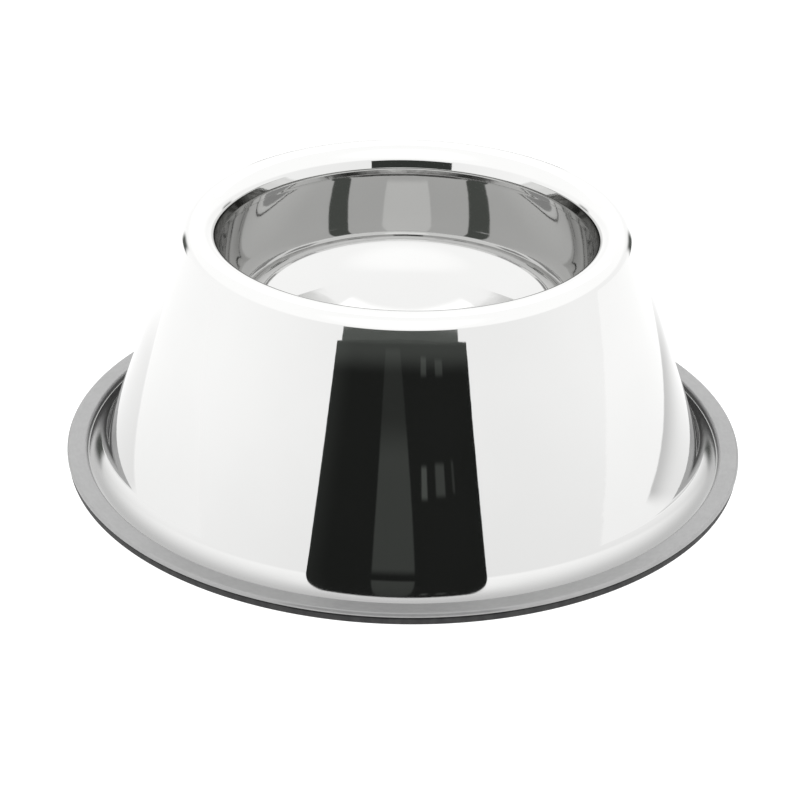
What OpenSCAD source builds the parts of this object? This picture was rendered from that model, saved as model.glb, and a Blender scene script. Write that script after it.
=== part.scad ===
// Non-slip stainless dog bowl with a tall conical skirt.
// Two spun and drawn steel sheets are locked together at the mouth, and a rubber
// ring is bonded into a channel pressed round the foot. Every piece is a turned
// form about the Z axis, and the bowl stands on the rubber at z = 0.

/* [Whole bowl] */
// Diameter over the flange at the foot, the widest part
base_d = 250; // [220:1:300]
// Height from the floor to the top of the rim
bowl_h = 91.2; // [80:0.1:120]
// Clear diameter of the mouth
mouth_d = 134.6; // [110:0.2:146]
// Depth from the top of the rim to the middle of the bowl's floor
inside_depth = 62; // [50:0.5:75]

/* [Outer skirt] */
// Thickness of the skirt's sheet
skirt_sheet = 0.7; // [0.5:0.1:0.8]
// Radius of the roll from the rim into the mouth
mouth_roll_r = 7; // [5:0.1:9]
// Length of the straight flank below the roll
flank_l = 2.5; // [1:0.1:4]
// Lean of the flank from the vertical, in degrees
flank_lean = 16; // [8:1:25]
// Radius of the bend from the flank to the lip
lip_bend_r = 4; // [3:0.5:6]
// Width of the level crown between the roll and the outer corner
crown_w = 1; // [0.2:0.1:4]
// Radius of the rim's outer corner
rim_corner_r = 5.5; // [3:0.1:7]
// Height of the lip that turns down inside the mouth
lip_h = 1.8; // [1:0.1:4]
// Radius of the flare between the cone and the step
flare_r = 10; // [7:0.5:12]

/* [Foot channel] */
// Height of the flange's flat top above the floor
flange_top = 4.5; // [4.5:0.1:7]
// Width of the flange, from its inner step to the outer edge
flange_w = 7.4; // [6.5:0.1:12]
// Height of the step from the trough up to the flange
step_h = 2.3; // [2:0.1:2.4]
// Fall of the flare where it runs into the bottom of the step, in degrees
trough_fall = 13; // [9:1:17]
// Radius in the bottom of the step
step_root_r = 0.6; // [0.3:0.1:0.7]
// Radius on top of the step
step_top_r = 1; // [0.9:0.1:1.2]
// Outside radius of the flange's rolled outer edge
edge_r = 1; // [0.9:0.1:1.1]
// Height of the flange's turned-down edge above the floor
edge_clear = 3; // [2:0.1:3.1]

/* [Inner bowl] */
// Thickness of the drawn inner bowl
bowl_sheet = 0.6; // [0.4:0.1:1]
// Inward lean of the wall towards the floor, in degrees
wall_lean = 1.5; // [0.5:0.5:4]
// Radius of the slight bend where the wall starts to lean
wall_bend_r = 20; // [10:1:30]
// Inside radius between the wall and the floor
floor_r = 20; // [12:0.5:24]
// Radius of the dished floor
dish_r = 130; // [110:1:200]
// Sweep of the flared edge that nests in the rim, in degrees
flare_sweep = 70; // [40:5:85]

/* [Rubber ring] */
// Inset of the rubber's side from the flange's edge
rubber_inset = 0.5; // [0.2:0.1:1]
// Radius on the rubber's outer corners
rubber_corner_r = 0.5; // [0.3:0.1:0.6]
// Open gap between the turned-down edge and the rubber below it
shadow_gap = 0.5; // [0.2:0.05:0.6]
// Thickness of the adhesive between the channel and the ring
bead_h = 0.3; // [0.2:0.1:0.4]
// Width of the adhesive bead
bead_w = 3.4; // [2:0.1:3.6]

/* [Fits] */
// Clearance between the two nested sheets at the mouth
seam_gap = 0.05; // [0.03:0.01:0.1]
// Clearance between the rubber's tongue and the walls of its channel
channel_gap = 0.15; // [0.05:0.05:0.25]

/* [Hidden] */
// Facets of a full turn
$fn = 180;
// Most degrees between the points of an arc, and most that a chord may stand off it
arc_step = 7.5;
chord_sag = 0.02;
// The sheet lies within a bend's radius or beyond it
WITHIN = -1;
BEYOND = 1;

base_r = base_d / 2;
mouth_r = mouth_d / 2;

// Rim: the lip's bend and the mouth roll have the straight flank between them
flank_out = [-cos(flank_lean), sin(flank_lean)];
flank_up = [sin(flank_lean), cos(flank_lean)];
bend_to_roll = (lip_bend_r - mouth_roll_r) * flank_out + flank_l * flank_up;
roll_c = [mouth_r + lip_bend_r + bend_to_roll.x, bowl_h - mouth_roll_r];
lip_bend_c = roll_c - bend_to_roll;
lip_foot = lip_bend_c.y - lip_h;
corner_c = [roll_c.x + crown_w, bowl_h - rim_corner_r];

// Foot: the step is the inner wall of the channel, seen from above
step_r = base_r - flange_w;
trough_top = flange_top - step_h;
root_c = [step_r - step_root_r, trough_top + step_root_r];
step_c = [step_r + step_top_r, flange_top - step_top_r];
edge_c = [base_r - edge_r, flange_top - edge_r];

// The flare and the root's bend touch where the one runs into the other
root_to_flare = [sin(trough_fall), cos(trough_fall)];
flare_c = root_c + (flare_r - step_root_r) * root_to_flare;

// The cone is the line tangent to the rim corner, which lies inside it, and to
// the flare, which lies outside it
centre_line = flare_c - corner_c;
cone_slope = atan2(-centre_line.y, centre_line.x) + asin((rim_corner_r + flare_r) / norm(centre_line));
cone_lean = 90 - cone_slope;

// Inner bowl: its wall stands behind the skirt's lip, and leans below it
nest_gap = skirt_sheet + seam_gap;
wall_r = mouth_r + nest_gap;
wall_bend_c = [wall_r - wall_bend_r, lip_foot - skirt_sheet];
wall_out = [cos(wall_lean), -sin(wall_lean)];
wall_down = [-sin(wall_lean), -cos(wall_lean)];

// The floor's corner is the circle tangent to the wall and to the dished floor
dish_c = [0, bowl_h - inside_depth + dish_r];
corner_out = (wall_bend_c - dish_c) * wall_out + wall_bend_r - floor_r;
dish_to_corner = corner_out * wall_out + sqrt((dish_r - floor_r) ^ 2 - corner_out ^ 2) * wall_down;
floor_c = dish_c + dish_to_corner;
dish_edge = 360 + atan2(dish_to_corner.y, dish_to_corner.x);

// Rubber ring: a tongue in the channel over a wider foot
ring_in_r = step_r + skirt_sheet + channel_gap;
tongue_out_r = base_r - skirt_sheet - channel_gap;
tongue_top = flange_top - skirt_sheet - bead_h;
foot_out_r = base_r - rubber_inset;
foot_top = edge_clear - shadow_gap;
bead_mid_r = (ring_in_r + tongue_out_r) / 2;

// Points along an arc, from one angle to another
function arc(centre, radius, from, to) =
    let (steps = ceil(abs(to - from) / min(arc_step, 2 * acos(1 - chord_sag / radius))))
    [for (i = [0:steps]) let (a = from + (to - from) * i / steps) centre + radius * [cos(a), sin(a)]];

function reversed(points) = [for (i = [len(points) - 1:-1:0]) points[i]];

// One face of a bent sheet, at a depth below its outer face. Each bend is a
// centre, the outer face's radius, the side where the sheet lies, and two angles.
// The straight runs join one bend to the next.
function sheet_face(bends, depth) = [for (b = bends) each arc(b[0], b[1] + b[2] * depth, b[3], b[4])];

// Half round that deburring leaves on a sheet's cut edge, where it points down
function turned_down_edge(outer_face_r, z, inwards, sheet) =
    arc([outer_face_r + inwards * sheet / 2, z], sheet / 2, 0, -180);

// Bends of the skirt from the mouth to the flange's outer edge
function skirt_bends() = [
    [lip_bend_c, lip_bend_r, WITHIN, 180, 180 - flank_lean],
    [roll_c, mouth_roll_r, WITHIN, 180 - flank_lean, 90],
    [corner_c, rim_corner_r, WITHIN, 90, cone_lean],
    [flare_c, flare_r, BEYOND, 180 + cone_lean, 270 - trough_fall],
    [root_c, step_root_r, BEYOND, 270 - trough_fall, 360],
    [step_c, step_top_r, WITHIN, 180, 90],
    [edge_c, edge_r, WITHIN, 90, 0],
];

// Spun skirt: lip, rim, cone, flare, trough and the channel for the rubber
module outer_skirt() {
    lip_edge = turned_down_edge(mouth_r, lip_foot + skirt_sheet / 2, BEYOND, skirt_sheet);
    flange_edge = turned_down_edge(base_r, edge_clear + skirt_sheet / 2, WITHIN, skirt_sheet);
    outside = sheet_face(skirt_bends(), 0);
    inside = sheet_face(skirt_bends(), skirt_sheet);
    color("silver") rotate_extrude()
        polygon(concat(outside, flange_edge, reversed(inside), lip_edge));
}

// Bends of the inner bowl from its flared edge to the middle of its floor
function bowl_bends(edge_angle) = [
    [roll_c, mouth_roll_r - nest_gap, WITHIN, edge_angle, 180 - flank_lean],
    [lip_bend_c, lip_bend_r - nest_gap, WITHIN, 180 - flank_lean, 180],
    [wall_bend_c, wall_bend_r, BEYOND, 360, 360 - wall_lean],
    [floor_c, floor_r, BEYOND, 360 - wall_lean, dish_edge],
    [dish_c, dish_r, BEYOND, dish_edge, 270],
];

// Drawn bowl, whose flared edge is locked under the roll of the rim
module inner_bowl() {
    edge_angle = 180 - flare_sweep;
    bends = bowl_bends(edge_angle);
    edge_mid_r = mouth_roll_r - nest_gap - bowl_sheet / 2;
    edge_mid = roll_c + edge_mid_r * [cos(edge_angle), sin(edge_angle)];
    flare_edge = arc(edge_mid, bowl_sheet / 2, edge_angle - 180, edge_angle);
    color("gainsboro") rotate_extrude()
        polygon(concat(sheet_face(bends, 0), reversed(sheet_face(bends, bowl_sheet)), flare_edge));
}

// Moulded ring: the foot carries the bowl and its tongue fills the channel
module rubber_ring() {
    corner_r = foot_out_r - rubber_corner_r;
    color("dimgray") rotate_extrude() polygon(concat(
        [[ring_in_r, tongue_top], [ring_in_r, 0]],
        arc([corner_r, rubber_corner_r], rubber_corner_r, -90, 0),
        arc([corner_r, foot_top - rubber_corner_r], rubber_corner_r, 0, 90),
        [[tongue_out_r, foot_top], [tongue_out_r, tongue_top]]
    ));
}

// Bead that bonds the tongue to the top of the channel
module adhesive_bead() {
    color("ivory") rotate_extrude()
        translate([bead_mid_r - bead_w / 2, tongue_top]) square([bead_w, bead_h]);
}

outer_skirt();
inner_bowl();
rubber_ring();
adhesive_bead();
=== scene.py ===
"""Studio model of a stainless dog bowl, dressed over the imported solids.

Every piece is a turned form. Its outline of arcs and straight runs is spun about
the Z axis, with each point's exact normal, so that polished steel reflects
without facets. Outlines are in millimetres and meshes in metres.
"""

import math

import bpy
from mathutils import Matrix, Vector


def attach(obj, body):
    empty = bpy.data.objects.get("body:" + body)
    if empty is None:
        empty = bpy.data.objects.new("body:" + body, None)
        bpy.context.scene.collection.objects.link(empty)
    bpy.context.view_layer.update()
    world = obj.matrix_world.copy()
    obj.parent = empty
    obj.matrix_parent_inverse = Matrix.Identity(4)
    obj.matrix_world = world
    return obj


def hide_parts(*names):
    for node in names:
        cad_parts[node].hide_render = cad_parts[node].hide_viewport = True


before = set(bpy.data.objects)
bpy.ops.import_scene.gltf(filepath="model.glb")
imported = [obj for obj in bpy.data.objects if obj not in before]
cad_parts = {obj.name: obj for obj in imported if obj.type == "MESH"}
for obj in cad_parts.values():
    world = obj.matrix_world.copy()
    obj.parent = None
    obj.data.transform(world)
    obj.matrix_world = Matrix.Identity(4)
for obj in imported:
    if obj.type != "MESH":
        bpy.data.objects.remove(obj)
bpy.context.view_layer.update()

MM = 0.001
BODY = "root"

# Whole bowl
BASE_R = 125.0
BOWL_H = 91.2
MOUTH_R = 67.3
INSIDE_DEPTH = 62.0

# Skirt, from its lip in the mouth to the flare
SKIRT_SHEET = 0.7
LIP_H = 1.8
LIP_BEND_R = 4.0
FLANK_L = 2.5
FLANK_LEAN = 16.0
MOUTH_ROLL_R = 7.0
CROWN_W = 1.0
RIM_CORNER_R = 5.5
FLARE_R = 10.0

# Skirt's trough, step and flange
TROUGH_FALL = 13.0
STEP_ROOT_R = 0.6
STEP_H = 2.3
STEP_TOP_R = 1.0
FLANGE_TOP = 4.5
FLANGE_W = 7.4
EDGE_R = 1.0
EDGE_CLEAR = 3.0

# Inner bowl
BOWL_SHEET = 0.6
FLARE_SWEEP = 70.0
WALL_BEND_R = 20.0
WALL_LEAN = 1.5
FLOOR_R = 20.0
DISH_R = 130.0

# Rubber ring, its adhesive, and the fits
RUBBER_INSET = 0.5
RUBBER_CORNER_R = 0.5
SHADOW_GAP = 0.5
BEAD_H = 0.3
BEAD_W = 3.4
SEAM_GAP = 0.05
CHANNEL_GAP = 0.15

# Fineness of the meshes: most degrees and most length between an outline's points
TURN_STEPS = 320
SHOWN_ARC = (3.0, 1.5)
HIDDEN_ARC = (8.0, 6.0)
SHEET_EDGE_ARC = (15.0, 1.0)
FLARE_EDGE_ARC = (20.0, 1.0)
STEEL_RUN = 6.0
RUBBER_RUN = 1.0
SAME_PLACE = 1e-5
# A sheet lies within a bend's radius or beyond it
WITHIN = -1
BEYOND = 1

# Photo camera, in millimetres, radians and pixels of the 800 pixel frame
CAMERA_BACK = 837.75
CAMERA_UP = 465.0
CAMERA_YAW = -0.00169
CAMERA_PITCH = 0.48979
CAMERA_ROLL = 0.01816
FOCAL_PX = 2550.8
FRAME_PX = 800
SENSOR_MM = 36.0
CLIP_START = 0.05
CLIP_END = 20.0
MOST_MIRRORINGS = 24
MOST_BOUNCES = 28

# Steel: tone and roughness of each polish
POLISHED_TONE = (0.66, 0.66, 0.655)
POLISHED_ROUGH = 0.02
DRAWN_TONE = (0.62, 0.62, 0.615)
DRAWN_ROUGH = 0.025
SATIN_TONE = (0.3, 0.3, 0.3)
SATIN_ROUGH = 0.28
BLACK = (0.0, 0.0, 0.0)
# Skirt's foot: where its trough and its satin flange set in and are in full, in
# millimetres outwards from the step, and what each does to the polish
TROUGH_STARTS = -8.0
FLANGE_STARTS = -0.4
FLANGE_FULL = 0.1
# Painted shade: the trough's tone falls to this share, in full from the place below on
TROUGH_PAINTED_SHADE = 0.55
TROUGH_SHADE_FULL = -2.0
TROUGH_ROUGH = 0.14
TROUGH_ROUGH_FULL = -1.0
# Painted shade in the root of the step: the softness of its edges, and how dark it is
ROOT_SOFT = 0.15
ROOT_PAINTED_SHADE = 0.7
FLANGE_HAZE = 0.65

# Where the dark and the light ends of a noise lie
CONTRAST = (0.3, 0.7)
# How quickly a noise changes round the bowl, beside its change along the outline
BUFFED_TURN = 0.012
DRAWN_TURN = 0.05
FLOW_TURN = 0.3
# Fineness of the surfaces' detail, in waves per metre
BUFFED_SCALE = 5200.0
DRAWN_SCALE = 900.0
SMEAR_SCALE = 26.0
GRIME_SCALE = 140.0
MOTTLE_SCALE = 220.0
GRAIN_SCALE = 5200.0
FLOW_SCALE = 160.0
CLOUD_SCALE = 300.0
BUBBLE_SCALE = 1400.0
PAPER_SCALE = 90.0
# Depth of the surfaces' relief, in metres
LINE_DEPTH = 0.000012
SMEAR_DEPTH = 0.00006
FLOW_DEPTH = 0.00008
GRAIN_DEPTH = 0.00004
BUBBLE_DEPTH = 0.00008

# Rubber and adhesive
RUBBER_DARK = (0.018, 0.018, 0.019)
RUBBER_PALE = (0.03, 0.03, 0.03)
RUBBER_DUST = (0.1, 0.097, 0.094)
RUBBER_SPECULAR = 0.3
ADHESIVE_DARK = (0.8, 0.76, 0.62)
ADHESIVE_PALE = (0.86, 0.83, 0.72)

# Studio: radiance of the sky, of the horizon and of a lamp and a panel in the sky.
# Directions are unit vectors, and their heights are shares of one
SKY_LIGHT = 1.49
HORIZON_LIGHT = 1.37
# What the horizon gains per unit of x, and per unit of y before the bowl
HORIZON_GAIN_X = -0.04
HORIZON_GAIN_Y = 0.1
SKY_STARTS = (0.22, 0.36)
LAMP_DIRECTION = (0.0, -0.57, 0.82)
LAMP_SPREAD = (0.8, 0.98)
LAMP_LIGHT = 0.12
PANEL_SIDES = (-0.55, 0.53)
PANEL_HEIGHTS = (0.5, 0.9)
PANEL_LIGHT = 0.42

# White floor, and the bowl's shade on it, by places in millimetres
FLOOR_GLOW = 1.06
FLOOR_DARK = (0.22, 0.22, 0.22)
FLOOR_PALE = (0.24, 0.24, 0.24)
FLOOR_REACH = 3000
FLOOR_Z = -0.1
SHADE_Z = -0.05
SHADE_X = (-250, 250)
SHADE_Y = (-60, 250)
# The shade's outer edge on the left grows with y, and turns into that on the right
SHADE_LEFT_R = 175.0
SHADE_LEFT_TURN = 0.7
SHADE_RIGHT_R = 233.0
SHADE_TURNS_X = (-50.0, 50.0)
SHADE_STARTS_Y = (-42.0, -22.0)
SHADE_FADES_Y = (100.0, 190.0)
SHADE_LAST_SHARE = 0.2
SHADE_DEEP_R = (148.0, 228.0)
SHADE_LIGHT = 1.2
SHADE_DEEP_LIGHT = 0.84

# Cards round the bowl, which only its polish shows, by places in millimetres
CARD_TINT = (0.93, 1.0, 0.93)
NEUTRAL = (1.0, 1.0, 1.0)
ANY_DEPTH = 99
FAR_CARD_ENDS = ((-315, -600), (260, -600))
FAR_CARD_Z = (2, 216)
FAR_CARD_LIGHT = 0.05
FAR_TOP_Z = (202.0, 206.0)
FAR_TOP_LIGHT = 0.08
NEAR_CARD_Y = -130
NEAR_CARD_EDGE = ((-47.6, 2), (42.9, 2), (47.7, 95.3), (-3, 96.2), (-53.6, 95.0))
NEAR_CARD_LIGHT = 0.017
BACK_CARD_ENDS = ((-76, 130), (76, 130))
BACK_CARD_Z = (0, 90)
BACK_CARD_LIGHT = 0.04
POLES = {"left": (-376, 367), "right": (335, 396)}
POLE_W = 150
POLE_Z = (0, 205)
POLE_LIGHT = 0.13
# Tilted bars: the compass degrees of their two lower and two upper corners
BARS = {"left": ((-92, -66), (-106, -80)), "right": ((69, 97), (82, 110))}
BAR_DISTANCE = 2000
BAR_Z = (1155, 3925)
BAR_LIGHT = 0.25
SIDE_CARDS = {"left": (-168, -122), "right": (122, 168)}
SIDE_DISTANCE = 1500
SIDE_Z = (800, 1800)
SIDE_LIGHT = 0.55

# Pale stripe on the near card, narrower towards its top
STRIPE_LEFT = -14.2
STRIPE_RIGHT = 7.4
STRIPE_TAPER = -0.0012
STRIPE_Z = (12.0, 94.0)
STRIPE_FADE_Z = (52.0, 70.0)
STRIPE_LIGHTS = (0.048, 0.018)
NEAR_SOFT_X = 1.2
STRIPE_SOFT_Z = 3.0
GLINT_SOFT_Z = 2.5
# Glows at the near card's top and left: where each starts, is full, and its light
TOP_GLOWS = ((83.0, 92.5, 0.055), (93.8, 95.6, 0.03))
LEFT_GLOW = (-35.0, -57.0, 0.02)
# Glints on the near card: left, right, low, high and added light
GLINTS = (
    (10.5, 15.5, 82, 91, 0.05),
    (20.5, 27, 82, 90, 0.04),
    (10, 14.3, 38, 52, 0.08),
    (18, 24.5, 39, 53, 0.05),
    (27.8, 30.3, 40, 54, 0.03),
)


def polar(degrees):
    a = math.radians(degrees)
    return Vector((math.cos(a), math.sin(a)))


# Rim and mouth: the straight flank joins the lip's bend to the mouth roll
flank_out = polar(180 - FLANK_LEAN)
flank_up = polar(90 - FLANK_LEAN)
bend_to_roll = (LIP_BEND_R - MOUTH_ROLL_R) * flank_out + FLANK_L * flank_up
roll_c = Vector((MOUTH_R + LIP_BEND_R + bend_to_roll.x, BOWL_H - MOUTH_ROLL_R))
lip_bend_c = roll_c - bend_to_roll
lip_foot = lip_bend_c.y - LIP_H
corner_c = Vector((roll_c.x + CROWN_W, BOWL_H - RIM_CORNER_R))

# Foot: the cone is tangent to the rim's corner and to the flare
step_r = BASE_R - FLANGE_W
root_c = Vector((step_r - STEP_ROOT_R, FLANGE_TOP - STEP_H + STEP_ROOT_R))
step_c = Vector((step_r + STEP_TOP_R, FLANGE_TOP - STEP_TOP_R))
edge_c = Vector((BASE_R - EDGE_R, FLANGE_TOP - EDGE_R))
flare_c = root_c - (FLARE_R - STEP_ROOT_R) * polar(270 - TROUGH_FALL)
centre_line = flare_c - corner_c
centre_slope = math.atan2(-centre_line.y, centre_line.x)
cone_slope = centre_slope + math.asin((RIM_CORNER_R + FLARE_R) / centre_line.length)
cone_lean = 90 - math.degrees(cone_slope)

# Inner bowl: the floor's corner is tangent to the wall and to the dish
nest_gap = SKIRT_SHEET + SEAM_GAP
wall_bend_c = Vector((MOUTH_R + nest_gap - WALL_BEND_R, lip_foot - SKIRT_SHEET))
wall_out = polar(-WALL_LEAN)
wall_down = polar(-90 - WALL_LEAN)
dish_c = Vector((0, BOWL_H - INSIDE_DEPTH + DISH_R))
corner_out = (wall_bend_c - dish_c).dot(wall_out) + WALL_BEND_R - FLOOR_R
corner_down = math.sqrt((DISH_R - FLOOR_R) ** 2 - corner_out**2)
to_corner = corner_out * wall_out + corner_down * wall_down
floor_c = dish_c + to_corner
dish_edge = 360 + math.degrees(math.atan2(to_corner.y, to_corner.x))

# Channel and ring
ring_in = step_r + SKIRT_SHEET + CHANNEL_GAP
tongue_out = BASE_R - SKIRT_SHEET - CHANNEL_GAP
tongue_top = FLANGE_TOP - SKIRT_SHEET - BEAD_H
foot_out = BASE_R - RUBBER_INSET
foot_top = EDGE_CLEAR - SHADOW_GAP


def bend(centre, radius, start, end, fineness, facing=1):
    """Points of an arc from one angle to another, each with its normal."""
    most_degrees, most_length = fineness
    step = min(most_degrees, math.degrees(most_length / radius))
    count = max(1, math.ceil(abs(end - start) / step))
    angles = [start + (end - start) * i / count for i in range(count + 1)]
    return [(centre + radius * polar(a), facing * polar(a)) for a in angles]


def straight(start, end, longest):
    """Points of a straight run, each with its normal, or none if it has no length."""
    run = end - start
    if run.length <= SAME_PLACE:
        return []
    normal = Vector((-run.y, run.x)).normalized()
    count = max(1, math.ceil(run.length / longest))
    return [(start.lerp(end, i / count), normal) for i in range(count + 1)]


def joined(parts, longest):
    """Outline through arcs and bare corners, walked with the solid on its right.
    Straight runs join them. Where two runs meet at a corner, its place comes twice,
    once with each run's normal."""
    out = []
    last = None
    for part in parts:
        arc = part if isinstance(part, list) else []
        start = arc[0][0] if arc else part
        if last is not None:
            out += straight(last, start, longest)
        out += arc
        last = out[-1][0] if out else start
    return out


def bends_of(bends, depth, fineness):
    """The arcs of a bent sheet's face, at a depth below its shown face. At a depth
    the face is the sheet's other side, so it faces the other way."""
    other_side = -1 if depth else 1
    return [
        bend(centre, radius + side * depth, start, end, fineness, -side * other_side)
        for centre, radius, side, start, end in bends
    ]


def backwards(arcs):
    return [arc[::-1] for arc in arcs[::-1]]


def turned(out, up, turn):
    """Place or direction at a step of the turn about the Z axis."""
    a = 2 * math.pi * turn / TURN_STEPS
    return out * math.cos(a), out * math.sin(a), up


def ring_vertices(outline):
    """Vertices of a spun outline, the outline's point that each comes from, and for
    each point its vertices round the turn. A place that comes again shares its
    vertices, and a place on the axis has one."""
    verts, sources, rings = [], [], []
    for i, (p, _) in enumerate(outline):
        same = [j for j in (i - 1, 0) if i and (p - outline[j][0]).length < SAME_PLACE]
        if same:
            rings.append(rings[same[0]])
            continue
        count = 1 if p.x < SAME_PLACE else TURN_STEPS
        first = len(verts)
        verts += [turned(p.x * MM, p.y * MM, k) for k in range(count)]
        sources += [i] * count
        rings.append([first + k % count for k in range(TURN_STEPS)])
    return verts, sources, rings


def ring_faces(outline, rings):
    """Faces between the rings, and the normal at each corner of each face."""
    last = len(outline) - 1
    pairs = [(i, i + 1) for i in range(last)]
    if outline[0][0].x > SAME_PLACE:
        pairs.append((last, 0))
    faces, normals = [], []
    for i, j in pairs:
        if rings[i] is rings[j]:
            continue
        for turn in range(TURN_STEPS):
            after = (turn + 1) % TURN_STEPS
            face, facing = [], []
            for point, k in ((j, turn), (j, after), (i, after), (i, turn)):
                if rings[point][k] not in face:
                    face.append(rings[point][k])
                    facing.append(turned(outline[point][1].x, outline[point][1].y, k))
            faces.append(face)
            normals += facing
    return faces, normals


def spun(name, outline, raw):
    """Mesh object from an outline spun about the Z axis. raw tells how unpolished
    each point of the outline is."""
    walked = [0.0]
    for (start, _), (end, _) in zip(outline, outline[1:]):
        walked.append(walked[-1] + (end - start).length * MM)
    verts, sources, rings = ring_vertices(outline)
    faces, normals = ring_faces(outline, rings)
    mesh = bpy.data.meshes.new(name)
    mesh.from_pydata(verts, [], faces)
    for attribute, values in (("along", walked), ("raw", raw)):
        data = mesh.attributes.new(attribute, "FLOAT", "POINT").data
        data.foreach_set("value", [values[i] for i in sources])
    mesh.shade_smooth()
    mesh.normals_split_custom_set(normals)
    obj = bpy.data.objects.new(name, mesh)
    bpy.context.scene.collection.objects.link(obj)
    return obj


def skirt_bends():
    """Bends from the mouth to the flange's edge: centre, shown face's radius, the
    side where the sheet lies, and two angles."""
    return [
        (lip_bend_c, LIP_BEND_R, WITHIN, 180, 180 - FLANK_LEAN),
        (roll_c, MOUTH_ROLL_R, WITHIN, 180 - FLANK_LEAN, 90),
        (corner_c, RIM_CORNER_R, WITHIN, 90, cone_lean),
        (flare_c, FLARE_R, BEYOND, 180 + cone_lean, 270 - TROUGH_FALL),
        (root_c, STEP_ROOT_R, BEYOND, 270 - TROUGH_FALL, 360),
        (step_c, STEP_TOP_R, WITHIN, 180, 90),
        (edge_c, EDGE_R, WITHIN, 90, 0),
    ]


def make_skirt():
    """Polished sheet from the lip to the flange, with its unpolished inside."""
    half = SKIRT_SHEET / 2
    flange_edge = bend(Vector((BASE_R - half, EDGE_CLEAR + half)), half, 0, -180, SHEET_EDGE_ARC)
    lip_edge = bend(Vector((MOUTH_R + half, lip_foot + half)), half, 0, -180, SHEET_EDGE_ARC)
    outside = bends_of(skirt_bends(), 0, SHOWN_ARC)
    inside = backwards(bends_of(skirt_bends(), SKIRT_SHEET, HIDDEN_ARC))
    shown = joined([*outside, flange_edge], STEEL_RUN)
    hidden = joined([flange_edge[-1][0], *inside, lip_edge], STEEL_RUN)
    raw = [0.0] * len(shown) + [1.0] * (len(hidden) - len(lip_edge)) + [0.0] * len(lip_edge)
    return spun("skirt_polished", shown + hidden, raw)


def bowl_bends(edge_angle):
    """Bends from the flared edge to the middle of the floor."""
    return [
        (roll_c, MOUTH_ROLL_R - nest_gap, WITHIN, edge_angle, 180 - FLANK_LEAN),
        (lip_bend_c, LIP_BEND_R - nest_gap, WITHIN, 180 - FLANK_LEAN, 180),
        (wall_bend_c, WALL_BEND_R, BEYOND, 360, 360 - WALL_LEAN),
        (floor_c, FLOOR_R, BEYOND, 360 - WALL_LEAN, dish_edge),
        (dish_c, DISH_R, BEYOND, dish_edge, 270),
    ]


def make_bowl():
    """Drawn bowl, polished within and unpolished without."""
    edge_angle = 180 - FLARE_SWEEP
    half = BOWL_SHEET / 2
    inside = backwards(bends_of(bowl_bends(edge_angle), 0, SHOWN_ARC))
    outside = bends_of(bowl_bends(edge_angle), BOWL_SHEET, HIDDEN_ARC)
    edge_mid = roll_c + (MOUTH_ROLL_R - nest_gap - half) * polar(edge_angle)
    edge = bend(edge_mid, half, edge_angle, edge_angle - 180, FLARE_EDGE_ARC)
    shown = joined(inside, STEEL_RUN)
    hidden = joined([edge, *outside], STEEL_RUN)
    raw = [0.0] * len(shown) + [1.0] * len(hidden)
    return spun("bowl_drawn", shown + hidden, raw)


def make_ring():
    """Rubber foot with its tongue."""
    corner_r = foot_out - RUBBER_CORNER_R
    high = Vector((corner_r, foot_top - RUBBER_CORNER_R))
    low = Vector((corner_r, RUBBER_CORNER_R))
    parts = [
        Vector((ring_in, 0)),
        Vector((ring_in, tongue_top)),
        Vector((tongue_out, tongue_top)),
        Vector((tongue_out, foot_top)),
        bend(high, RUBBER_CORNER_R, 90, 0, SHEET_EDGE_ARC),
        bend(low, RUBBER_CORNER_R, 0, -90, SHEET_EDGE_ARC),
        Vector((ring_in, 0)),
    ]
    outline = joined(parts, RUBBER_RUN)
    return spun("ring_rubber", outline, [0.0] * len(outline))


def make_bead():
    """Adhesive between the tongue and the top of its channel."""
    mid = (ring_in + tongue_out) / 2
    near, far = mid - BEAD_W / 2, mid + BEAD_W / 2
    low, high = tongue_top, tongue_top + BEAD_H
    places = ((near, low), (near, high), (far, high), (far, low), (near, low))
    outline = joined([Vector(place) for place in places], RUBBER_RUN)
    return spun("bead_adhesive", outline, [0.0] * len(outline))


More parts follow.
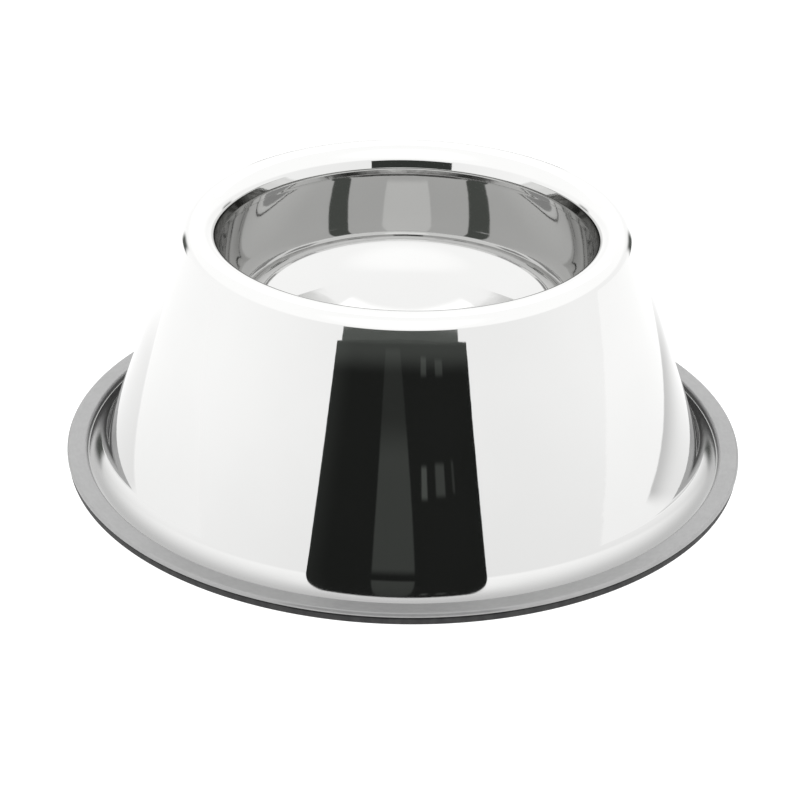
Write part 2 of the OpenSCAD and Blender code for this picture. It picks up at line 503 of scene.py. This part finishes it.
class Nodes:
    """Short names for building a tree of shader nodes."""

    def __init__(self, tree):
        self.tree = tree
        tree.nodes.clear()

    def add(self, kind, **settings):
        node = self.tree.nodes.new(kind)
        for name, value in settings.items():
            setattr(node, name, value)
        return node

    def link(self, source, target):
        self.tree.links.new(source, target)

    def put(self, value, socket):
        """Number, colour or another node's output into a socket."""
        if isinstance(value, (int, float)):
            socket.default_value = value
        elif isinstance(value, tuple):
            socket.default_value = (*value, 1.0)
        else:
            self.link(value, socket)

    def put_into(self, kind, value, **settings):
        node = self.add(kind, **settings)
        self.put(value, node.inputs[0])
        return node

    def finish(self, shader, output="ShaderNodeOutputMaterial"):
        """Make a shader the whole tree's output."""
        self.link(shader.outputs[0], self.add(output).inputs[0])

    def math(self, operation, a, b=0.0, c=0.0):
        node = self.add("ShaderNodeMath", operation=operation)
        for value, socket in zip((a, b, c), node.inputs):
            self.put(value, socket)
        return node.outputs[0]

    def plus(self, *values):
        total = values[0]
        for value in values[1:]:
            total = self.math("ADD", total, value)
        return total

    def minus(self, a, b):
        return self.math("SUBTRACT", a, b)

    def times(self, *values):
        total = values[0]
        for value in values[1:]:
            total = self.math("MULTIPLY", total, value)
        return total

    def length(self, x, y):
        return self.math("SQRT", self.plus(self.times(x, x), self.times(y, y)))

    def xyz(self, vector):
        return self.put_into("ShaderNodeSeparateXYZ", vector).outputs

    def together(self, x, y, z):
        node = self.add("ShaderNodeCombineXYZ")
        for value, socket in zip((x, y, z), node.inputs):
            self.put(value, socket)
        return node.outputs[0]

    def place(self):
        """Place on the object, in metres."""
        return self.add("ShaderNodeTexCoord").outputs["Object"]

    def place_mm(self):
        return [self.times(part, 1 / MM) for part in self.xyz(self.place())]

    def attribute(self, name):
        return self.add("ShaderNodeAttribute", attribute_name=name).outputs["Fac"]

    def noise(self, vector, scale, detail):
        node = self.add("ShaderNodeTexNoise")
        self.link(vector, node.inputs["Vector"])
        node.inputs["Scale"].default_value = scale
        node.inputs["Detail"].default_value = detail
        return node.outputs[0]

    def ramp(self, value, low, high, to_low=0.0, to_high=1.0):
        """Smooth step from one value to another."""
        node = self.add("ShaderNodeMapRange", interpolation_type="SMOOTHSTEP")
        for v, socket in zip((value, low, high, to_low, to_high), node.inputs):
            self.put(v, socket)
        return node.outputs["Result"]

    def window(self, value, low, high, soft):
        """One between two values, zero beyond them, with soft ends."""
        start = self.ramp(self.minus(value, low), 0.0, soft)
        end = self.ramp(self.minus(high, value), 0.0, soft)
        return self.times(start, end)

    def mix(self, factor, a, b):
        """Colour between two, by the colour sockets of a Mix node."""
        node = self.add("ShaderNodeMix", data_type="RGBA")
        for value, socket in ((factor, 0), (a, 6), (b, 7)):
            self.put(value, node.inputs[socket])
        return node.outputs[2]

    def bump(self, height, distance, onto=None):
        node = self.add("ShaderNodeBump")
        node.inputs["Distance"].default_value = distance
        self.link(height, node.inputs["Height"])
        if onto is not None:
            self.link(onto, node.inputs["Normal"])
        return node.outputs[0]

    def surface(self, color, roughness, normal):
        """Principled shader that is the material's surface."""
        bsdf = self.add("ShaderNodeBsdfPrincipled")
        self.put(color, bsdf.inputs["Base Color"])
        self.put(roughness, bsdf.inputs["Roughness"])
        self.put(normal, bsdf.inputs["Normal"])
        self.finish(bsdf)
        return bsdf


def new_material(name):
    material = bpy.data.materials.new(name)
    material.use_nodes = True
    return material, Nodes(material.node_tree)


def turning_coordinates(n, place, around):
    """Coordinates that run round the axis, so that a noise in them is drawn out
    along the turning direction. around is how quickly it changes round the bowl."""
    x, y, _ = n.xyz(place)
    unit = n.put_into("ShaderNodeVectorMath", n.together(x, y, 0.0), operation="NORMALIZE")
    unit_x, unit_y, _ = n.xyz(unit.outputs[0])
    return n.together(n.times(unit_x, around), n.times(unit_y, around), n.attribute("along"))


def distance_from_step(n, place):
    """Millimetres outwards from the step at the skirt's foot."""
    x, y, _ = n.xyz(place)
    return n.minus(n.times(n.length(x, y), 1 / MM), step_r)


def steel(name, tone, polish, has_foot=False):
    """Polished sheet, duller on the side that isn't shown, where "raw" is 1. Round
    the skirt's foot the polish fades into a rougher trough whose darker tone is
    painted shade, a thin line of painted shade lies in the root of the step, and
    the flange beyond it is satin."""
    material, n = new_material(name)
    place = n.place()
    raw = n.attribute("raw")
    buffed = n.noise(turning_coordinates(n, place, BUFFED_TURN), BUFFED_SCALE, 3.0)
    drawn = n.noise(turning_coordinates(n, place, DRAWN_TURN), DRAWN_SCALE, 4.0)
    smear = n.noise(place, SMEAR_SCALE, 4.0)
    grime = n.noise(place, GRIME_SCALE, 3.0)
    low_down = n.ramp(n.xyz(place)[2], 0.0, 0.07, 0.93, 1.0)
    # Tone of the polish: smears, a little darker towards the bottom, and the trough's painted shade
    # added below
    smears_and_shade = n.times(n.ramp(smear, *CONTRAST, 0.985, 1.0), low_down)
    # Tone of the satin: drawn lines and grime, and the root's painted shade added below
    wear_and_shade = n.times(n.ramp(drawn, *CONTRAST, 0.93, 1.0), n.ramp(grime, 0.35, 0.7, 1.0, 0.96))
    smooth = n.plus(n.ramp(smear, 0.35, 0.8, polish, polish * 2.0), n.times(buffed, 0.012))
    satin, metal = raw, 1.0
    if has_foot:
        out = distance_from_step(n, place)
        flange = n.ramp(out, FLANGE_STARTS, FLANGE_FULL)
        root = n.window(out, FLANGE_STARTS, FLANGE_FULL, ROOT_SOFT)
        # Painted shade: the trough's tone grows darker towards the step
        smears_and_shade = n.times(smears_and_shade, n.ramp(out, TROUGH_STARTS, TROUGH_SHADE_FULL, 1.0, TROUGH_PAINTED_SHADE))
        # Painted shade: a thin dark line in the root of the step
        wear_and_shade = n.times(wear_and_shade, n.minus(1.0, n.times(root, ROOT_PAINTED_SHADE)))
        trough = n.ramp(out, TROUGH_STARTS, TROUGH_ROUGH_FULL, 0.0, TROUGH_ROUGH)
        smooth = n.plus(smooth, trough)
        satin = n.math("MAXIMUM", raw, flange)
        metal = n.minus(1.0, n.times(flange, FLANGE_HAZE))
    color = n.mix(satin, n.mix(smears_and_shade, BLACK, tone), n.mix(wear_and_shade, BLACK, SATIN_TONE))
    brushed = n.plus(SATIN_ROUGH, n.times(buffed, 0.1), n.times(drawn, 0.06))
    roughness = n.plus(n.times(satin, brushed), n.times(n.minus(1.0, satin), smooth))
    lines = n.bump(n.times(buffed, n.plus(0.04, satin)), LINE_DEPTH)
    bsdf = n.surface(color, roughness, n.bump(smear, SMEAR_DEPTH, lines))
    n.put(metal, bsdf.inputs["Metallic"])
    return material


def rubber_material(name):
    """Moulded rubber: mottled black, matt, with a fine mould grain and dust low down."""
    material, n = new_material(name)
    place = n.place()
    mottle = n.noise(place, MOTTLE_SCALE, 3.0)
    grain = n.noise(place, GRAIN_SCALE, 2.0)
    flow = n.noise(turning_coordinates(n, place, FLOW_TURN), FLOW_SCALE, 3.0)
    low_down = n.ramp(n.xyz(place)[2], 0.0, 0.0014, 1.0, 0.25)
    dust = n.times(low_down, n.ramp(mottle, 0.4, 0.7), 0.4)
    black = n.mix(n.ramp(flow, *CONTRAST), RUBBER_DARK, RUBBER_PALE)
    roughness = n.plus(n.ramp(mottle, *CONTRAST, 0.5, 0.68), n.times(grain, 0.1))
    relief = n.bump(flow, FLOW_DEPTH, n.bump(grain, GRAIN_DEPTH))
    bsdf = n.surface(n.mix(dust, black, RUBBER_DUST), roughness, relief)
    bsdf.inputs["Specular IOR Level"].default_value = RUBBER_SPECULAR
    return material


def adhesive_material(name):
    """Set contact adhesive: cream, with cloudy patches and small bubbles."""
    material, n = new_material(name)
    place = n.place()
    cloud = n.noise(place, CLOUD_SCALE, 4.0)
    bubbles = n.add("ShaderNodeTexVoronoi")
    n.link(place, bubbles.inputs["Vector"])
    bubbles.inputs["Scale"].default_value = BUBBLE_SCALE
    cream = n.mix(n.ramp(cloud, *CONTRAST), ADHESIVE_DARK, ADHESIVE_PALE)
    relief = n.bump(n.ramp(bubbles.outputs["Distance"], 0.0, 0.4), BUBBLE_DEPTH)
    n.surface(cream, n.ramp(cloud, *CONTRAST, 0.35, 0.6), relief)
    return material


def floor_material(name):
    """White table that glows a little, as a lit white sweep does, so that shade on
    it stays faint. From below it is clear, so that the underside can be seen."""
    material, n = new_material(name)
    matt = n.add("ShaderNodeBsdfDiffuse")
    n.put(n.mix(n.noise(n.place(), PAPER_SCALE, 4.0), FLOOR_DARK, FLOOR_PALE), matt.inputs["Color"])
    glow = n.add("ShaderNodeEmission")
    glow.inputs["Strength"].default_value = FLOOR_GLOW
    both = n.add("ShaderNodeAddShader")
    n.link(matt.outputs[0], both.inputs[0])
    n.link(glow.outputs[0], both.inputs[1])
    sides = n.add("ShaderNodeMixShader")
    n.put(n.add("ShaderNodeNewGeometry").outputs["Backfacing"], sides.inputs[0])
    n.link(both.outputs[0], sides.inputs[1])
    n.link(n.add("ShaderNodeBsdfTransparent").outputs[0], sides.inputs[2])
    n.finish(sides)
    return material


def card_surface(n, light, cover, tint):
    """Light of a card, which lets through what lies behind it where cover is 0."""
    emission = n.add("ShaderNodeEmission")
    n.put(tint, emission.inputs["Color"])
    n.put(light, emission.inputs["Strength"])
    blend = n.add("ShaderNodeMixShader")
    n.put(cover, blend.inputs[0])
    n.link(n.add("ShaderNodeBsdfTransparent").outputs[0], blend.inputs[1])
    n.link(emission.outputs[0], blend.inputs[2])
    n.finish(blend)


def soft_card_material(name, light, soft_side, soft_top, least=1, most=ANY_DEPTH, tint=CARD_TINT):
    """Card with soft sides and top, as shares of its width and height. It shows only
    over at least so many mirrorings, and over so many at the most."""
    material, n = new_material(name)
    u, v, _ = n.xyz(n.add("ShaderNodeTexCoord").outputs["UV"])
    cover = n.times(n.window(u, 0.0, 1.0, soft_side), n.ramp(n.minus(1.0, v), 0.0, soft_top))
    if least > 1 or most < ANY_DEPTH:
        depth = n.add("ShaderNodeLightPath").outputs["Ray Depth"]
        enough = n.math("GREATER_THAN", depth, least - 0.5)
        not_too_many = n.math("LESS_THAN", depth, most + 0.5)
        cover = n.times(cover, enough, not_too_many)
    card_surface(n, light, cover, tint)
    return material


def near_card_material(name):
    """Dark screen before the bowl, lighter at its top and left, with the paler
    stripe and the glints that the photo's reflection shows."""
    material, n = new_material(name)
    x, _, z = n.place_mm()
    stripe_right = n.math("MULTIPLY_ADD", n.times(z, z), STRIPE_TAPER, STRIPE_RIGHT)
    across = n.window(x, STRIPE_LEFT, stripe_right, NEAR_SOFT_X)
    stripe = n.times(across, n.window(z, *STRIPE_Z, STRIPE_SOFT_Z))
    light = n.plus(NEAR_CARD_LIGHT, n.times(stripe, n.ramp(z, *STRIPE_FADE_Z, *STRIPE_LIGHTS)))
    for starts, full, glow in TOP_GLOWS:
        light = n.plus(light, n.ramp(z, starts, full, 0.0, glow))
    starts, full, glow = LEFT_GLOW
    light = n.plus(light, n.ramp(x, full, starts, glow, 0.0))
    for left, right, low, high, glint in GLINTS:
        across = n.window(x, left, right, NEAR_SOFT_X)
        patch = n.times(across, n.window(z, low, high, GLINT_SOFT_Z))
        light = n.plus(light, n.times(patch, glint))
    card_surface(n, light, 1.0, CARD_TINT)
    return material


def far_card_material(name):
    """Screen far before the bowl, lighter where the top of the cone mirrors it."""
    material, n = new_material(name)
    z = n.place_mm()[2]
    light = n.plus(FAR_CARD_LIGHT, n.ramp(z, *FAR_TOP_Z, 0.0, FAR_TOP_LIGHT))
    card_surface(n, light, 1.0, CARD_TINT)
    return material


def shade_material(name):
    """The bowl's soft shade on the table behind it, deeper on the right and at its
    outer edge."""
    material, n = new_material(name)
    x, y, _ = n.place_mm()
    radius = n.length(x, y)
    left_edge = n.math("MULTIPLY_ADD", y, SHADE_LEFT_TURN, SHADE_LEFT_R)
    edge = n.ramp(x, *SHADE_TURNS_X, left_edge, SHADE_RIGHT_R)
    inside = n.ramp(n.minus(edge, radius), -2.0, 6.0)
    fading = n.ramp(y, *SHADE_FADES_Y, 1.0, SHADE_LAST_SHARE)
    cover = n.times(inside, n.ramp(y, *SHADE_STARTS_Y), fading)
    right_light = n.ramp(radius, *SHADE_DEEP_R, SHADE_LIGHT, SHADE_DEEP_LIGHT)
    card_surface(n, n.ramp(x, *SHADE_TURNS_X, SHADE_LIGHT, right_light), cover, NEUTRAL)
    return material


def make_world():
    """White studio: bright above, a little darker towards the horizon, with a lamp
    before the bowl and a brighter panel behind it."""
    world = bpy.data.worlds.new("studio")
    bpy.context.scene.world = world
    world.use_nodes = True
    n = Nodes(world.node_tree)
    x, y, z = n.xyz(n.add("ShaderNodeTexCoord").outputs["Generated"])
    to_front = n.times(n.math("MINIMUM", y, 0.0), HORIZON_GAIN_Y)
    horizon = n.plus(HORIZON_LIGHT, n.times(x, HORIZON_GAIN_X), to_front)
    lamp = n.put_into("ShaderNodeVectorMath", n.together(x, y, z), operation="DOT_PRODUCT")
    lamp.inputs[1].default_value = LAMP_DIRECTION
    lamp_light = n.ramp(lamp.outputs["Value"], *LAMP_SPREAD, 0.0, LAMP_LIGHT)
    across = n.math("DIVIDE", x, n.math("MAXIMUM", y, 0.01))
    sides = n.window(across, *PANEL_SIDES, 0.04)
    panel = n.times(sides, n.window(z, *PANEL_HEIGHTS, 0.03), n.ramp(y, 0.0, 0.1))
    sky = n.plus(SKY_LIGHT, lamp_light, n.times(panel, PANEL_LIGHT))
    high = n.ramp(z, *SKY_STARTS)
    background = n.add("ShaderNodeBackground")
    background.inputs["Color"].default_value = (*NEUTRAL, 1.0)
    light = n.plus(n.times(high, sky), n.times(n.minus(1.0, high), horizon))
    n.put(light, background.inputs["Strength"])
    n.finish(background, "ShaderNodeOutputWorld")


def sheet(name, corners, material):
    """Flat stage piece. The first four corners are those of its texture space."""
    mesh = bpy.data.meshes.new(name)
    mesh.from_pydata([Vector(c) * MM for c in corners], [], [tuple(range(len(corners)))])
    for loop, place in zip(mesh.uv_layers.new().data, ((0, 0), (1, 0), (1, 1), (0, 1))):
        loop.uv = place
    mesh.materials.append(material)
    obj = bpy.data.objects.new(name, mesh)
    bpy.context.scene.collection.objects.link(obj)
    return obj


def card(name, corners, material):
    """Stage piece that only polished steel shows."""
    obj = sheet(name, corners, material)
    obj.visible_camera = False
    obj.visible_diffuse = False
    obj.visible_shadow = False


def upright_card(name, ends, heights, material):
    """Upright card between two places on the floor."""
    (left, right), (low, high) = ends, heights
    card(name, [(*left, low), (*right, low), (*right, high), (*left, high)], material)


def compass(distance, degrees):
    """Place at a distance from the axis, in degrees from +Y towards +X."""
    a = math.radians(degrees)
    return distance * math.sin(a), distance * math.cos(a)


def make_floor():
    sides = ((-1, -1), (1, -1), (1, 1), (-1, 1))
    corners = [(x * FLOOR_REACH, y * FLOOR_REACH, FLOOR_Z) for x, y in sides]
    sheet("floor", corners, floor_material("floor_white"))


def make_front_cards():
    """The dark screens that the front of the cone and the rim mirror."""
    upright_card("card_far", FAR_CARD_ENDS, FAR_CARD_Z, far_card_material("card_dark"))
    corners = [(x, NEAR_CARD_Y, z) for x, z in NEAR_CARD_EDGE]
    card("card_near", corners, near_card_material("card_screen"))


def make_back_cards():
    """A low screen behind the bowl, and a soft pole behind it on either side."""
    behind = soft_card_material("card_behind", BACK_CARD_LIGHT, 0.08, 0.08)
    upright_card("card_back", BACK_CARD_ENDS, BACK_CARD_Z, behind)
    pole = soft_card_material("card_pole", POLE_LIGHT, 0.35, 0.55)
    for side, (x, y) in POLES.items():
        half = Vector((y, -x)).normalized() * POLE_W / 2
        ends = ((x - half.x, y - half.y), (x + half.x, y + half.y))
        upright_card("card_pole_" + side, ends, POLE_Z, pole)


def make_high_cards():
    """Bars and side screens that the bowl's wall shows over several mirrorings."""
    bar = soft_card_material("card_bar", BAR_LIGHT, 0.06, 0.05, least=3)
    low, high = BAR_Z
    for side, ((foot_left, foot_right), (top_left, top_right)) in BARS.items():
        places = ((foot_left, low), (foot_right, low), (top_right, high), (top_left, high))
        corners = [(*compass(BAR_DISTANCE, degrees), z) for degrees, z in places]
        card("card_bar_" + side, corners, bar)
    screen = soft_card_material("card_side", SIDE_LIGHT, 0.15, 0.15, least=2, most=2, tint=NEUTRAL)
    for side, degrees in SIDE_CARDS.items():
        ends = [compass(SIDE_DISTANCE, d) for d in degrees]
        upright_card("card_side_" + side, ends, SIDE_Z, screen)


def make_shade():
    (left, right), (front, back) = SHADE_X, SHADE_Y
    places = ((left, front), (right, front), (right, back), (left, back))
    card("card_shade", [(x, y, SHADE_Z) for x, y in places], shade_material("card_shade"))


def make_camera():
    """Camera at the photo's place, looking at the photo's angle."""
    sin_yaw, cos_yaw = math.sin(CAMERA_YAW), math.cos(CAMERA_YAW)
    sin_pitch, cos_pitch = math.sin(CAMERA_PITCH), math.cos(CAMERA_PITCH)
    sin_roll, cos_roll = math.sin(CAMERA_ROLL), math.cos(CAMERA_ROLL)
    forward = Vector((sin_yaw * cos_pitch, cos_yaw * cos_pitch, -sin_pitch))
    level = forward.cross(Vector((0, 0, 1))).normalized()
    above = level.cross(forward)
    right = cos_roll * level + sin_roll * above
    up = -sin_roll * level + cos_roll * above
    data = bpy.data.cameras.new("photo_camera")
    data.sensor_width = SENSOR_MM
    data.lens = FOCAL_PX / FRAME_PX * SENSOR_MM
    data.clip_start = CLIP_START
    data.clip_end = CLIP_END
    camera = bpy.data.objects.new("photo_camera", data)
    place = Matrix.Translation(Vector((0, -CAMERA_BACK, CAMERA_UP)) * MM)
    turn = Matrix((right, up, -forward)).transposed().to_4x4()
    camera.matrix_world = place @ turn
    bpy.context.scene.collection.objects.link(camera)
    bpy.context.scene.camera = camera


polished = steel("polished_steel", POLISHED_TONE, POLISHED_ROUGH, has_foot=True)
drawn = steel("drawn_steel", DRAWN_TONE, DRAWN_ROUGH)
rubber = rubber_material("black_rubber")
glue = adhesive_material("adhesive")

for maker, material, slot, node in (
    (make_skirt, polished, "polished_steel", "outer_skirt"),
    (make_bowl, drawn, "drawn_steel", "inner_bowl"),
    (make_ring, rubber, "black_rubber", "rubber_ring"),
    (make_bead, glue, "adhesive", "adhesive_bead"),
):
    piece = maker()
    piece.data.materials.append(material)
    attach(piece, BODY)
    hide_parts(node)

make_world()
make_floor()
make_front_cards()
make_back_cards()
make_high_cards()
make_shade()
make_camera()
bpy.context.scene.view_settings.view_transform = "Standard"
bpy.context.scene.view_settings.look = "None"
bpy.context.scene.cycles.glossy_bounces = MOST_MIRRORINGS
bpy.context.scene.cycles.min_light_bounces = MOST_MIRRORINGS
bpy.context.scene.cycles.max_bounces = MOST_BOUNCES
